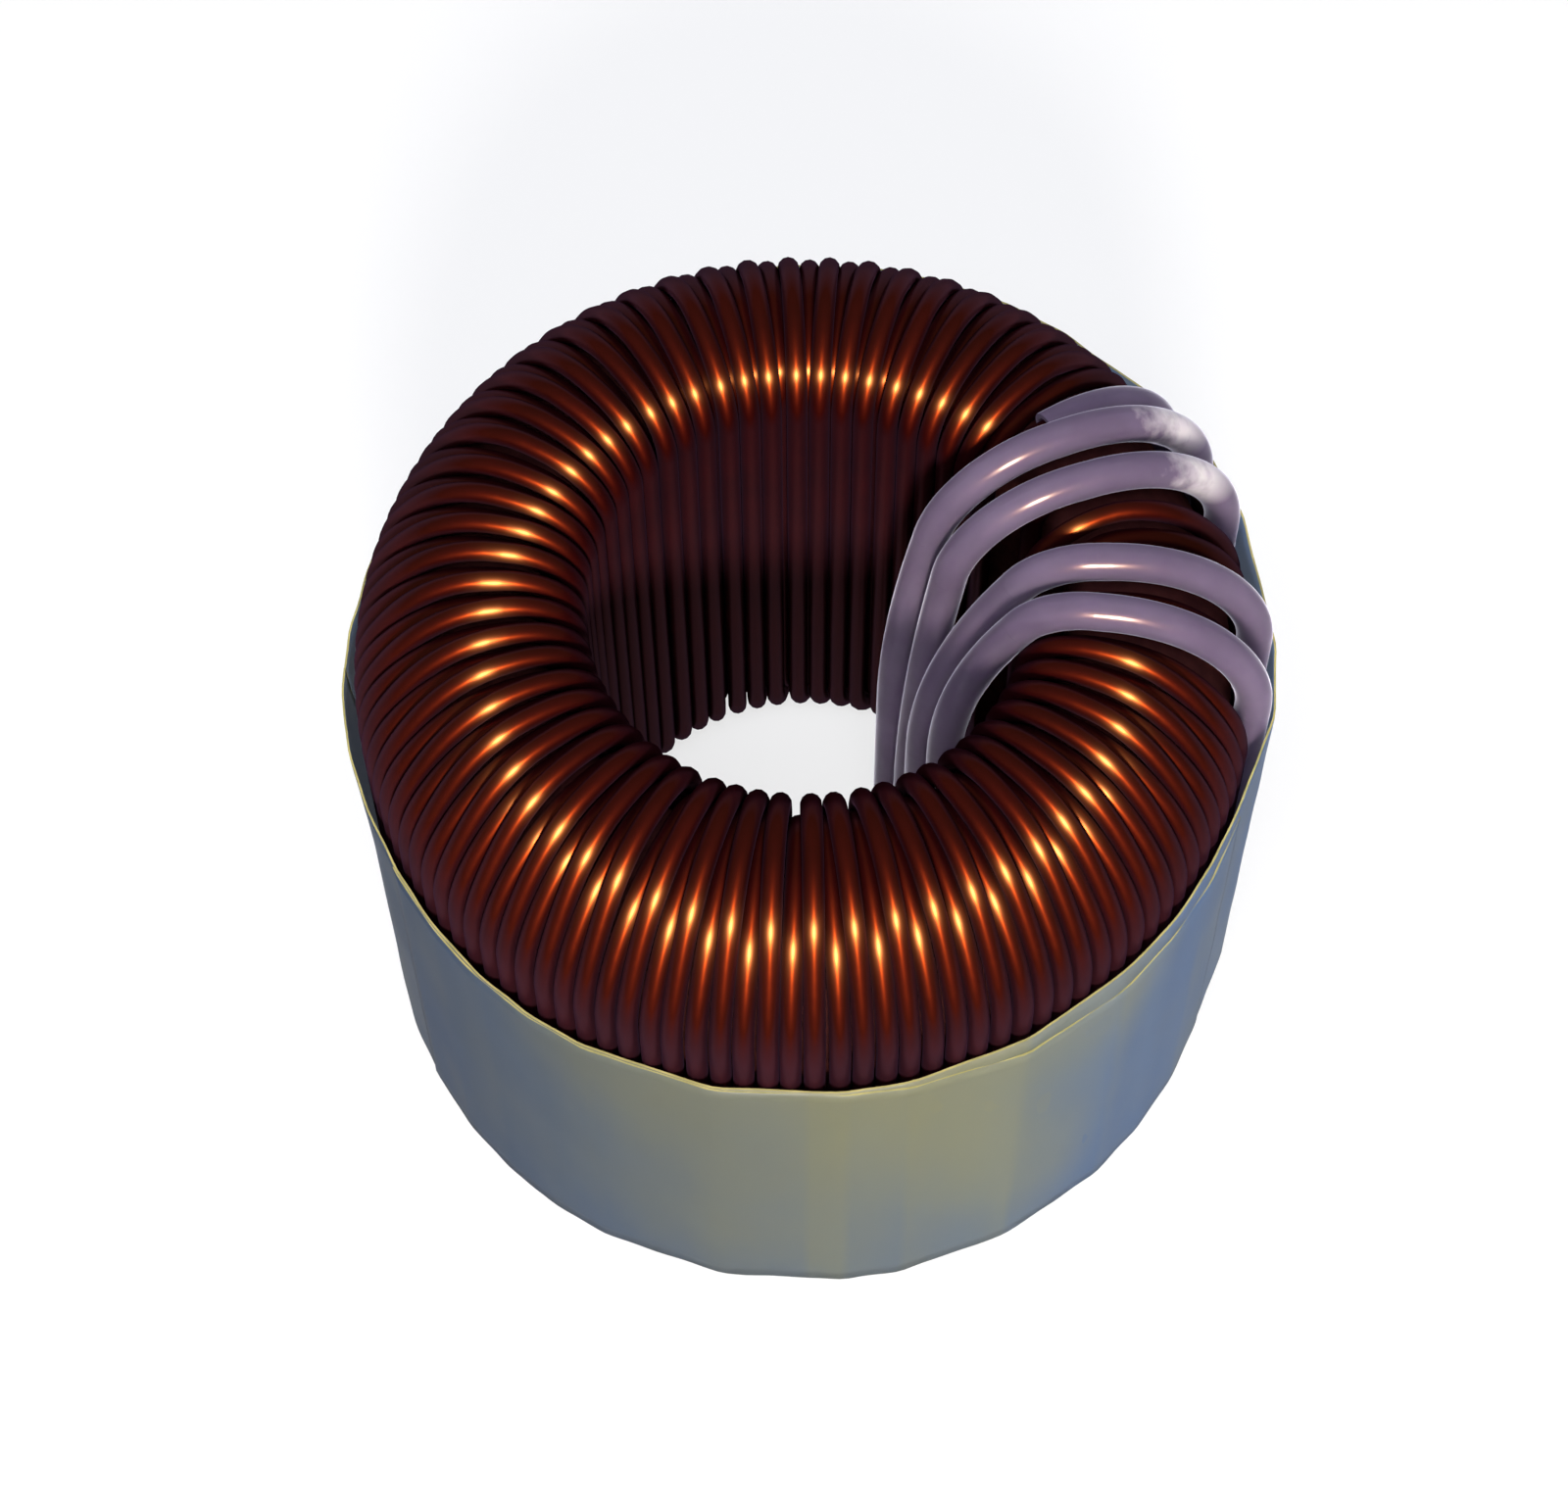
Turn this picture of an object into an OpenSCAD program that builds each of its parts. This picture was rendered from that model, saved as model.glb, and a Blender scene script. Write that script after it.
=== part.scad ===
// Toroidal inductor: a ring core wound with three enamelled wires side by side,
// five of their six ends in soft sleeving, and a band of clear tape round the outside.
// The ring stands on its face: +Z is its axis, z = 0 is the surface it rests on.
// The leads lie on the +X side.

/* [Core] */
// Outside diameter of the coated ring core
core_od = 46.8; // [46.4:0.1:54]
// Diameter of the core's hole
core_id = 28.4; // [28:0.1:28.6]
// Height of the core along its axis
core_h = 34.4; // [30:0.2:44]
// Rounding of the core's outer edges, as a share of the width between hole and outside
edge_out = 0.78; // [0.6:0.01:0.78]
// Rounding of the core's inner edges, as a share of the same width
edge_in = 0.2; // [0.15:0.01:0.2]

/* [Winding] */
// Diameter of the enamelled wire
wire_d = 1.15; // [1.05:0.05:1.15]
// Gap between the core and the wire laid on it
lay_gap = 0.2; // [0.15:0.05:0.3]
// Radial step from the lower row of turns in the hole to the upper row
row_step = 1.12; // [1.12:0.02:1.2]
// Angle from one turn to the next round the ring, where there is room for it
turn_pitch = 2.98; // [2.98:0.02:4]
// Direction of the first turn after the leads
first_turn = 41.8; // [41.8:0.1:48]
// Direction of the last turn before the leads
last_turn = 345.8; // [340:0.1:345.8]

/* [Leads] */
// Outside diameter of the sleeving
sleeve_od = 2; // [1.8:0.1:2]
// Bore of the sleeving
sleeve_id = 1.4; // [1.35:0.05:1.5]
// Bare wire past a sleeve at a free end
tip_len = 3; // [2:0.5:6]
// Height of a free end above the surface
end_height = 2.5; // [2:0.5:5]

/* [Tape] */
// Thickness of the wrapped tape
tape_t = 0.4; // [0.3:0.1:1]
// Gap between the tape and the turns behind it
tape_gap = 0.2; // [0.2:0.05:0.5]
// Height of the tape's upper edge at the middle of the ring
tape_h = 29.4; // [15:0.2:32]
// Rise of the tape's upper edge towards the back, in degrees
tape_tilt_back = 4.2; // [0:0.1:5]
// Rise of the tape's upper edge towards the leads, in degrees
tape_tilt_side = 2; // [0:0.1:3]

/* [Hidden] */

enamel = [0.42, 0.12, 0.05];
sleeving = [0.66, 0.62, 0.74];

// round sections and long arcs
fn_wire = 24;
fn_arc = 96;
// a rod is this much thicker than the bends that run into it, and covers their ends by half of lap
joint_step = 0.01;
lap = 0.4;
// how far a lead's bend runs on inside the rod after it
bend_lap = 0.1;
// a short straight between two bends
link = 0.3;
// how far a cut runs past what it cuts
over = 1;

function mm(v) = round(v * 1000) / 1000;
function polar(r, a) = [mm(r * cos(a)), mm(r * sin(a))];
function heading(p, q) = atan2(q[1] - p[1], q[0] - p[0]);

// centre lines of the turns: row 0 lies on the core, row 1 between and over its neighbours
core_width = (core_od - core_id) / 2;
core_edge_out = mm(edge_out * core_width);
core_edge_in = mm(edge_in * core_width);
r_out = mm(core_od / 2 + lay_gap + wire_d / 2);
r_in = [for (row = [0, 1]) mm(core_id / 2 - lay_gap - wire_d / 2 - row * row_step)];
bend_out = core_edge_out + lay_gap + wire_d / 2;
bend_in = [for (row = [0, 1]) mm(core_edge_in + lay_gap + wire_d / 2 + row * row_step)];
z_low = [mm(wire_d / 2 + row_step), wire_d / 2];
core_z = mm(z_low[0] + wire_d / 2 + lay_gap);
z_high = [for (row = [0, 1]) mm(core_z + core_h + lay_gap + wire_d / 2 + row * row_step)];

// turns in winding order: the starting ones, an odd number of regular ones, the finishing ones
strands = 3;
side_gap = 0.1;
pitch = max(turn_pitch, (wire_d + side_gap) / r_out * 180 / PI);
// places of the others, in degrees from the nearest regular turn on a ring of fan_radius; they open
// up on a smaller one
lead_r = mm(core_od / 2 + lay_gap + sleeve_od / 2);
fan_radius = 24.6;
fan = max(1, fan_radius / lead_r);
start_places = [-22.5, -18.7, -14.5, -7];
finish_places = [5.7, 10, 15.2, 19.8, 24.3];
group = len(start_places);
regular = 2 * floor((last_turn - first_turn) / (2 * pitch)) + 1;
count = group + regular + len(finish_places);
last_regular = first_turn + (regular - 1) * pitch;
function azimuth(i) = i < group ? first_turn + fan * start_places[i]
                    : i < group + regular ? first_turn + (i - group) * pitch
                    : last_regular + fan * finish_places[i - group - regular];
function is_regular(i) = i >= group && i < group + regular - 1;
function row_of(i) = is_regular(i) ? (i - group) % 2 : i == count - 1 ? 1 : 0;

// the turn that follows turn i on the same wire, or -1 where the wire ends
function after(i) = i == 0 ? 1
                  : i < group + regular ? i + strands
                  : i == count - 4 ? count - 2
                  : i == count - 2 ? count - 1 : -1;
function chain(i) = i < 0 ? [] : concat([i], chain(after(i)));

// heights of the sleeved leads over the ring: on the core, over one turn, over that lead
lead_gap = 0.06;
low_top = mm(core_z + core_h + lay_gap + sleeve_od / 2);
mid_top = mm(z_high[0] + wire_d / 2 + sleeve_od / 2 + lead_gap);
high_top = mm(mid_top + 0.1);
// the sleeved leads, by turn: [turn, turn aside where it passes the hole's rim, way on into the
// hole, reach of the curve over the rim, bend at its top, lean of the wire below that, height]
leads = [[3, 1.5, 1.9, 3.1, 0, 0, low_top],
         [2, 4.2, 7.43, 8.72, 7, 12, high_top],
         [0, 0.9, 7.4, 8.6, 7, 8, mid_top],
         [count - 3, 0.5, 7.4, 8.6, 4.5, 28, mid_top],
         [count - 5, -1.74, 6.13, 7.34, 4.2, 27, mid_top]];
lead_bend = mm(bend_out - wire_d / 2 + sleeve_od / 2);
function lead_of(i) = [for (l = leads) if (l[0] == i) l];
function is_lead(i) = len(lead_of(i)) > 0;
function crown(l) = polar(lead_r, azimuth(l[0]));
function rim_at(l) = polar(core_id / 2, azimuth(l[0]) + l[1]);
function beyond(p, q, way) = [for (k = [0, 1]) mm(q[k] + (q[k] - p[k]) * way / norm(q - p))];
function foot(l) = beyond(crown(l), rim_at(l), l[2]);
// the level stretch over the ring, and the curve over the rim: its upper bend, the radius of its
// long lower part, how far that drops, and its lowest height
function level(l) = norm(crown(l) - foot(l)) - lead_bend - l[3];
function leans(l) = l[5] > 0;
function rim_bend(l) = leans(l) ? l[4] : l[3];
function long_bend(l) = (l[3] - l[4] * cos(l[5]) - link * sin(l[5])) / (1 - cos(l[5]));
function sag(l) = leans(l) ? long_bend(l) * sin(l[5]) + link * cos(l[5]) : 0;
function waist(l) = l[6] - rim_bend(l) * (1 - sin(l[5])) - sag(l);
// where a finishing lead leaves the hole's wall and where it reaches its own line
wall_z = z_low[1] + bend_in[1] + lap;
line_z = 15;

// where turn i comes down outside, and where it goes up inside
function outer_at(i) = is_lead(i) ? crown(lead_of(i)[0]) : polar(r_out, azimuth(i));
function inner_row(i) = is_lead(i) ? 1 : row_of(i);
function inner_at(i) = polar(r_in[inner_row(i)], azimuth(i));

// ---- shapes of round section ----

module rod(h, d = wire_d + joint_step) {
  cylinder(d = d, h = h, $fn = fn_wire);
}

// part of a ring of radius r in the XZ plane, from direction start
module ring_part(r, d, start, angle) {
  rotate([90, 0, 0])
    rotate_extrude(angle = angle, start = start, $fn = fn_arc)
      translate([r, 0]) circle(d = d, $fn = fn_wire);
}

// half a turn: a wire up at x = 0, over at height z and down at x = span, with short ends to join on
module arch(span, outer, inner, z) {
  flat = mm(span - outer - inner);
  translate([0, 0, z - outer - lap]) rod(lap, wire_d);
  translate([outer, 0, z - outer]) ring_part(outer, wire_d, 90, 90);
  if (flat > 0.001) translate([outer, 0, z]) rotate([0, 90, 0]) rod(flat, wire_d);
  translate([span - inner, 0, z - inner]) ring_part(inner, wire_d, 0, 90);
  translate([span, 0, z - inner - lap]) rod(lap, wire_d);
}

// a lead's path from the origin upwards: each step is [length, 0] or [radius, angle towards +X]
module trail(steps, d, i = 0) {
  if (i < len(steps)) {
    size = steps[i][0];
    turn = steps[i][1];
    if (turn == 0) {
      rod(size, d + joint_step);
      translate([0, 0, size]) trail(steps, d, i + 1);
    } else {
      side = turn > 0 ? 1 : -1;
      more = bend_lap / size * 180 / PI;
      rotate([0, 0, side > 0 ? 0 : 180]) translate([size, 0, 0])
        ring_part(size, d, 180 - abs(turn) - more, abs(turn) + 2 * more);
      translate([side * size * (1 - cos(turn)), 0, size * sin(abs(turn))])
        rotate([0, turn, 0]) trail(steps, d, i + 1);
    }
  }
}

// ---- wire ----

module over_top(i) {
  row = row_of(i);
  p = polar(r_out, azimuth(i));
  translate([p[0], p[1], 0]) rotate([0, 0, azimuth(i) + 180])
    arch(mm(r_out - r_in[row]), bend_out, bend_in[row], z_high[row]);
}

module under(i, next) {
  row = inner_row(next);
  p = outer_at(i);
  q = inner_at(next);
  translate([p[0], p[1], 0]) rotate([0, 0, heading(p, q)])
    mirror([0, 0, 1]) arch(mm(norm(q - p)), bend_out, bend_in[row], -z_low[row]);
}

module upright(p, z0, z1) {
  translate([p[0], p[1], z0]) rod(z1 - z0);
}

module bare_turn(i) {
  row = row_of(i);
  next = after(i);
  over_top(i);
  bottom = next < 0 ? end_height : z_low[inner_row(next)] + bend_out + lap / 2;
  upright(outer_at(i), bottom, z_high[row] - bend_out - lap / 2);
  if (next >= 0) under(i, next);
  upright(inner_at(i), z_low[row] + bend_in[row] + lap / 2, z_high[row] - bend_in[row] - lap / 2);
}

// the steps from a lead's place in the hole, over the rim and down outside to height bottom
function over_steps(l, rise, bottom) =
  concat([[rise, 0]],
         leans(l) ? [[long_bend(l), l[5]], [link, 0]] : [],
         [[rim_bend(l), 90 - l[5]], [level(l), 0], [lead_bend, 90],
          [l[6] - lead_bend - bottom, 0]]);

module at_foot(l, z) {
  translate([foot(l)[0], foot(l)[1], z]) rotate([0, 0, heading(foot(l), crown(l))]) children();
}

module lead_wire(i) {
  l = lead_of(i)[0];
  next = after(i);
  starts = next >= 0;
  z0 = starts ? end_height : line_z;
  bottom = starts ? z_low[inner_row(next)] + bend_out + lap / 2 : end_height;
  at_foot(l, z0) trail(over_steps(l, waist(l) - z0, bottom), wire_d);
  if (starts) {
    under(i, next);
  } else {
    p = inner_at(i);
    across = norm(foot(l) - p);
    sway = 2 * atan(across / (line_z - wall_z - link));
    translate([p[0], p[1], z_low[1] + bend_in[1] + lap / 2]) rotate([0, 0, heading(p, foot(l))])
      sway_in(across, sway);
  }
}

// the double bend that takes a finishing lead from the hole's wall to its own line
module sway_in(across, sway) {
  bend = (across - link * sin(sway)) / (2 * (1 - cos(sway)));
  rise = 2 * bend * sin(sway) + link * cos(sway);
  start = line_z - rise - (z_low[1] + bend_in[1] + lap / 2);
  trail([[start, 0], [bend, sway], [link, 0], [bend, -sway]], wire_d);
}

module wire_from(i) {
  color(enamel)
    for (t = chain(i))
      if (is_lead(t)) lead_wire(t);
      else bare_turn(t);
}

module wire_a() { wire_from(0); }
module wire_b() { wire_from(2); }
module wire_c() { wire_from(3); }

// ---- sleeves ----

module sleeve(n) {
  l = leads[n];
  starts = after(l[0]) >= 0;
  z0 = starts ? end_height + tip_len : line_z + link;
  bottom = starts ? z_low[0] + bend_out + lap : end_height + tip_len;
  color(sleeving) at_foot(l, z0) difference() {
    trail(over_steps(l, waist(l) - z0, bottom), sleeve_od);
    translate([0, 0, -over])
      trail(over_steps(l, waist(l) - z0 + over, bottom - over), sleeve_id);
  }
}

// the short sleeve covers only the outer part of its lead
module short_sleeve(n) {
  l = leads[n];
  drop = l[6] - lead_bend - (z_low[0] + bend_out + lap);
  start = rim_bend(l) + level(l);
  color(sleeving) at_foot(l, l[6]) translate([start, 0, 0]) rotate([0, 90, 0]) difference() {
    trail([[lead_bend, 90], [drop, 0]], sleeve_od);
    translate([0, 0, -over]) trail([[over, 0], [lead_bend, 90], [drop + over, 0]], sleeve_id);
  }
}

module sleeve_1() { short_sleeve(0); }
module sleeve_2() { sleeve(1); }
module sleeve_3() { sleeve(2); }
module sleeve_4() { sleeve(3); }
module sleeve_5() { sleeve(4); }

// ---- core and tape ----

module core() {
  color([0.25, 0.27, 0.3]) translate([0, 0, core_z]) rotate_extrude($fn = fn_arc)
    translate([core_id / 2, 0]) core_section(core_width);
}

// the core's section: a wide rounding outside, a small one inside
module core_section(width) {
  difference() {
    square([width, core_h]);
    for (end = [0, 1]) translate([0, end * core_h]) mirror([0, end]) {
      edge_waste(core_edge_in);
      translate([width, 0]) mirror([1, 0]) edge_waste(core_edge_out);
    }
  }
}

// what a rounding of radius r takes off a corner at the origin
module edge_waste(r) {
  difference() {
    translate([-over, -over]) square(r + over);
    translate([r, r]) circle(r = r, $fn = fn_wire);
  }
}

module outer_tape() {
  color([0.8, 0.8, 0.6, 0.8]) difference() {
    linear_extrude(tape_h + core_od) band_outline(tape_t);
    translate([0, 0, -over]) linear_extrude(tape_h + core_od + 2 * over) band_outline(0);
    translate([0, 0, tape_h]) rotate([tape_tilt_back, -tape_tilt_side, 0])
      translate([-core_od, -core_od, 0]) cube(2 * core_od);
  }
}

// the tape's outline: round the winding and over the sleeves that stand proud of it
module band_outline(extra) {
  hull() {
    circle(r = r_out + wire_d / 2 + tape_gap + extra, $fn = 72);
    for (l = leads) translate(crown(l)) circle(r = sleeve_od / 2 + tape_gap + extra, $fn = 24);
  }
}

core();
wire_a();
wire_b();
wire_c();
sleeve_1();
sleeve_2();
sleeve_3();
sleeve_4();
sleeve_5();
outer_tape();
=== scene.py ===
# %% [markdown]
# # A wound ring inductor
#
# The imported model gives the true shapes: a ring core, three enamelled wires wound round it, five lengths
# of soft sleeving and a band of clear tape. This lesson dresses that model. It keeps the solids whose
# shape is right and gives them real finishes, and it makes new pieces where a real winding is less regular
# than a drawing.

# %% Load the model
import math
import random

import bmesh
import bpy
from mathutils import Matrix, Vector, noise


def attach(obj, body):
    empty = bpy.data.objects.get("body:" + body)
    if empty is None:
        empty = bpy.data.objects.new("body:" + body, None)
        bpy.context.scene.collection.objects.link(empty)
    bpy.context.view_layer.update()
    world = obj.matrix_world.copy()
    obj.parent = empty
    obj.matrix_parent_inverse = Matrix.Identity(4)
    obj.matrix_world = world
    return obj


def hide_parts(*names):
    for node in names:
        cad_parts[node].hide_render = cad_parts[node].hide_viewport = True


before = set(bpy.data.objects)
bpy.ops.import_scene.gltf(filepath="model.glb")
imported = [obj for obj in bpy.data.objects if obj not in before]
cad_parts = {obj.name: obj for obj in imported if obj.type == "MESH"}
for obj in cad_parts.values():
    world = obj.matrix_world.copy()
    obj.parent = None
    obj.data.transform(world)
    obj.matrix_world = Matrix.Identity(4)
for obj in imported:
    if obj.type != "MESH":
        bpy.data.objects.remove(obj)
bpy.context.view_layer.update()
MM = 0.001
print("nodes:", sorted(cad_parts))

# %% [markdown]
# ## The camera
#
# The ring is seen from in front and well above, from about a hand's breadth away, so the perspective is
# strong: the near side of the hole hides behind the near turns, and the far turns look smaller. The lens
# is set before anything else, because every later choice is judged through it.

# %% Camera
SENSOR_WIDTH = 36.0
LENS = 87.5
SIDE_SHIFT = -0.0134
NEAREST_SEEN = 0.01
CAMERA_PLACE = (0.0, -103.5 * MM, 212.2 * MM)
CAMERA_TILT = 28.1

camera = bpy.data.objects.new("camera", bpy.data.cameras.new("camera"))
bpy.context.scene.collection.objects.link(camera)
camera.data.sensor_fit = "HORIZONTAL"
camera.data.sensor_width = SENSOR_WIDTH
camera.data.lens = LENS
camera.data.shift_x = SIDE_SHIFT
camera.data.clip_start = NEAREST_SEEN
camera.location = CAMERA_PLACE
camera.rotation_euler = (math.radians(CAMERA_TILT), 0.0, 0.0)
bpy.context.scene.camera = camera
bpy.context.scene.view_settings.view_transform = "Standard"
print("camera at", tuple(camera.location))

# %% [markdown]
# ## Two helpers for light and finishes
#
# The surroundings of a small object on a white table are white to look at, but they shouldn't flood it
# with light. A Light Path node tells the two cases apart: rays that look at something, from the camera,
# off a glossy surface or through a clear one, and rays that only gather light. The same test serves the
# world and the floor. The second helper joins two shaders, since nearly every finish here is a mix.


# %% Looking rays and mixes
def looking_rays(nodes, links):
    """1 for a ray that looks at something, 0 for one that gathers light."""
    path = nodes.new("ShaderNodeLightPath")
    total = path.outputs["Is Camera Ray"]
    for kind in ("Is Glossy Ray", "Is Transmission Ray"):
        add = nodes.new("ShaderNodeMath")
        add.operation = "ADD"
        add.use_clamp = True
        links.new(total, add.inputs[0])
        links.new(path.outputs[kind], add.inputs[1])
        total = add.outputs[0]
    return total


def mixed(nodes, links, first, second, share):
    """Two shaders in one. The share of the second is a number or another node's output."""
    mix = nodes.new("ShaderNodeMixShader")
    if isinstance(share, float):
        mix.inputs["Fac"].default_value = share
    else:
        links.new(share, mix.inputs["Fac"])
    links.new(first.outputs[0], mix.inputs[1])
    links.new(second.outputs[0], mix.inputs[2])
    return mix


print("helpers ready: looking_rays, mixed")

# %% [markdown]
# ## World
#
# Around the table stands a bright room. To a looking ray it is plain white. As light it is a quiet
# blue-grey, as a window would give, which keeps the shaded sides soft and cool.

# %% World
WINDOW_COLOR = (0.74, 0.80, 1.0)
WINDOW_STRENGTH = 0.62
WHITE = (1.0, 1.0, 1.0)


def background(nodes, color, strength):
    shader = nodes.new("ShaderNodeBackground")
    shader.inputs["Color"].default_value = (*color, 1.0)
    shader.inputs["Strength"].default_value = strength
    return shader


def bright_room():
    world = bpy.data.worlds.new("studio")
    world.use_nodes = True
    nodes, links = world.node_tree.nodes, world.node_tree.links
    nodes.clear()
    window = background(nodes, WINDOW_COLOR, WINDOW_STRENGTH)
    walls = background(nodes, WHITE, 1.0)
    room = mixed(nodes, links, window, walls, looking_rays(nodes, links))
    links.new(room.outputs[0], nodes.new("ShaderNodeOutputWorld").inputs["Surface"])
    return world


bpy.context.scene.world = bright_room()
print("world:", bpy.context.scene.world.name)

# %% [markdown]
# ## Lamps
#
# A soft key lamp stands in front and lights the object at a plain level. A weak fill over the hole reaches
# the inner wall and the leads, and is left out of reflections, where it would add a second row of shine.
# The ring of small highlights on the real wires comes from one strong light in a dark room, and here the
# room is white. So a third lamp stands where the key lamp does and is seen in reflections only: it can be
# strong enough for the highlights and changes no plain colour.

# %% Lamps
KEY_PLACE = (0.03, -0.80, 0.58)
KEY_SIZE = 0.17
WARM = (1.0, 0.94, 0.85)
FILL_PLACE = (-0.02, -0.18, 0.45)
FILL_SIZE = 0.2
COOL = (0.94, 0.94, 1.0)
LAMP_AIM = (0.0, 0.0, 0.02)


def round_lamp(name, place, size, power, color):
    lamp = bpy.data.lights.new(name, "AREA")
    lamp.shape = "DISK"
    lamp.size = size
    lamp.energy = power
    lamp.color = color
    stand = bpy.data.objects.new(name, lamp)
    bpy.context.scene.collection.objects.link(stand)
    stand.location = place
    stand.rotation_euler = (Vector(LAMP_AIM) - Vector(place)).to_track_quat("-Z", "Y").to_euler()
    print(name, power, "W")
    return stand


round_lamp("key_lamp", KEY_PLACE, KEY_SIZE, 11.5, WARM)
fill_lamp = round_lamp("fill_lamp", FILL_PLACE, FILL_SIZE, 1.8, COOL)
fill_lamp.visible_glossy = False
glint_lamp = round_lamp("glint_lamp", KEY_PLACE, KEY_SIZE, 300.0, WARM)
glint_lamp.visible_diffuse = False
glint_lamp.visible_transmission = False

# %% [markdown]
# ## Floor
#
# The object stands on a sheet of white paper. To a looking ray the sheet glows a little, so that it
# stays as white as the room behind it, and its thin diffuse part keeps the object's shadow. For all
# other rays it is plain paper, which throws light back up under the object.

# %% Floor
FLOOR_HALF = 2.0
FLOOR_DROP = 0.0002
PAPER = (0.80, 0.80, 0.80)
THIN_PAPER = (0.17, 0.17, 0.17)
PAPER_GLOW = 0.74


def laid_out(name, bm, materials):
    """A finished mesh becomes an object in the scene."""
    mesh = bpy.data.meshes.new(name)
    bm.to_mesh(mesh)
    bm.free()
    for material in materials:
        mesh.materials.append(material)
    piece = bpy.data.objects.new(name, mesh)
    bpy.context.scene.collection.objects.link(piece)
    print(name, len(mesh.polygons), "faces")
    return piece


def matt(nodes, color):
    shader = nodes.new("ShaderNodeBsdfDiffuse")
    shader.inputs["Color"].default_value = (*color, 1.0)
    return shader


def white_paper():
    material = bpy.data.materials.new("floor")
    material.use_nodes = True
    nodes, links = material.node_tree.nodes, material.node_tree.links
    nodes.clear()
    glow = nodes.new("ShaderNodeEmission")
    glow.inputs["Color"].default_value = (*WHITE, 1.0)
    glow.inputs["Strength"].default_value = PAPER_GLOW
    both = nodes.new("ShaderNodeAddShader")
    links.new(matt(nodes, THIN_PAPER).outputs[0], both.inputs[0])
    links.new(glow.outputs[0], both.inputs[1])
    sheet = mixed(nodes, links, matt(nodes, PAPER), both, looking_rays(nodes, links))
    links.new(sheet.outputs[0], nodes.new("ShaderNodeOutputMaterial").inputs["Surface"])
    return material


plate = bmesh.new()
bmesh.ops.create_grid(plate, x_segments=1, y_segments=1, size=FLOOR_HALF)
floor = laid_out("floor", plate, [white_paper()])
floor.location.z = -FLOOR_DROP

# %% [markdown]
# ## Parts of a finish
#
# Every finish here starts from one plain shader and is broken up by soft noise, because nothing wound,
# drawn or glued by hand is of one even colour. The noise is placed by object coordinates, so it stays
# with the piece. These helpers are the maker's small tools: noise, a ramp from noise to colour, a stretch
# of numbers, and a mirror-like layer.


# %% Tools for finishes
def new_material(name):
    material = bpy.data.materials.new(name)
    material.use_nodes = True
    nodes, links = material.node_tree.nodes, material.node_tree.links
    nodes.clear()
    shader = nodes.new("ShaderNodeBsdfPrincipled")
    coat_with(nodes, links, shader)
    print("finish:", name)
    return material, nodes, links, shader


def coat_with(nodes, links, shader):
    """Makes this shader the surface of the material."""
    output = next((node for node in nodes if node.type == "OUTPUT_MATERIAL"), None)
    output = output or nodes.new("ShaderNodeOutputMaterial")
    links.new(shader.outputs[0], output.inputs["Surface"])


def set_inputs(node, values):
    for name, value in values.items():
        node.inputs[name].default_value = value


def object_axes(nodes, links):
    """Where on the object a point lies, as X, Y and Z in metres."""
    axes = nodes.new("ShaderNodeSeparateXYZ")
    links.new(nodes.new("ShaderNodeTexCoord").outputs["Object"], axes.inputs[0])
    return axes


def object_noise(nodes, links, scale, detail=3.0, stretch=(1.0, 1.0, 1.0)):
    mapping = nodes.new("ShaderNodeMapping")
    mapping.inputs["Scale"].default_value = stretch
    cloud = nodes.new("ShaderNodeTexNoise")
    set_inputs(cloud, {"Scale": scale, "Detail": detail})
    links.new(nodes.new("ShaderNodeTexCoord").outputs["Object"], mapping.inputs["Vector"])
    links.new(mapping.outputs[0], cloud.inputs["Vector"])
    return cloud


def color_ramp(nodes, links, factor, stops):
    ramp = nodes.new("ShaderNodeValToRGB")
    while len(ramp.color_ramp.elements) < len(stops):
        ramp.color_ramp.elements.new(0.5)
    for element, (position, color) in zip(ramp.color_ramp.elements, stops):
        element.position = position
        element.color = (*color, 1.0)
    links.new(factor, ramp.inputs["Fac"])
    return ramp


def stretched(nodes, links, value, from_range, to_range):
    """A number of one range, held within it, becomes a number of the other."""
    change = nodes.new("ShaderNodeMapRange")
    set_inputs(change, {"From Min": from_range[0], "From Max": from_range[1],
                        "To Min": to_range[0], "To Max": to_range[1]})
    links.new(value, change.inputs["Value"])
    return change


def scaled_color(nodes, links, color, factor):
    scale = nodes.new("ShaderNodeVectorMath")
    scale.operation = "SCALE"
    links.new(color, scale.inputs[0])
    links.new(factor, scale.inputs["Scale"])
    return scale


def added_to(nodes, links, noisy, share, value):
    """A share of a noise, added to a value."""
    wander = nodes.new("ShaderNodeMath")
    wander.operation = "MULTIPLY_ADD"
    wander.inputs[1].default_value = share
    links.new(noisy, wander.inputs[0])
    links.new(value, wander.inputs[2])
    return wander


def strengthened(color, share):
    """A colour made so strong that its share in a mix gives the colour asked for."""
    return tuple(part / share for part in color)


def mirror_layer(nodes, roughness, share, color=None):
    layer = nodes.new("ShaderNodeBsdfAnisotropic")
    layer.inputs["Roughness"].default_value = roughness
    if color:
        layer.inputs["Color"].default_value = (*strengthened(color, share), 1.0)
    return layer


print("finish tools ready")

# %% [markdown]
# ## Enamelled copper
#
# Winding wire is bright copper under a clear brown-red varnish. It is dark where the surroundings are dark
# and flashes orange where a lamp is reflected. Here that is a nearly black-red body and four faint mirror
# layers: the spark, a pale short flash; the streak, its orange tail, with a fine uneven roughness; the
# glow, a wide deep red; and the varnish, a purple-grey shine where the surface turns away from the eye.
# The layers are faint because the white room shows in all of them, and the glint lamp makes up for it.
# The shine is spread by direction, with the help of a map that runs along the wire: the spark across the
# wire, which keeps it short and broad, and the streak a little along it, which draws out a thin tail. The
# layers are joined in even halves. A layer's share is known then, and its colour is strengthened by that
# share, so the sum is the same as if the layers simply lay on top of each other.

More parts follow.
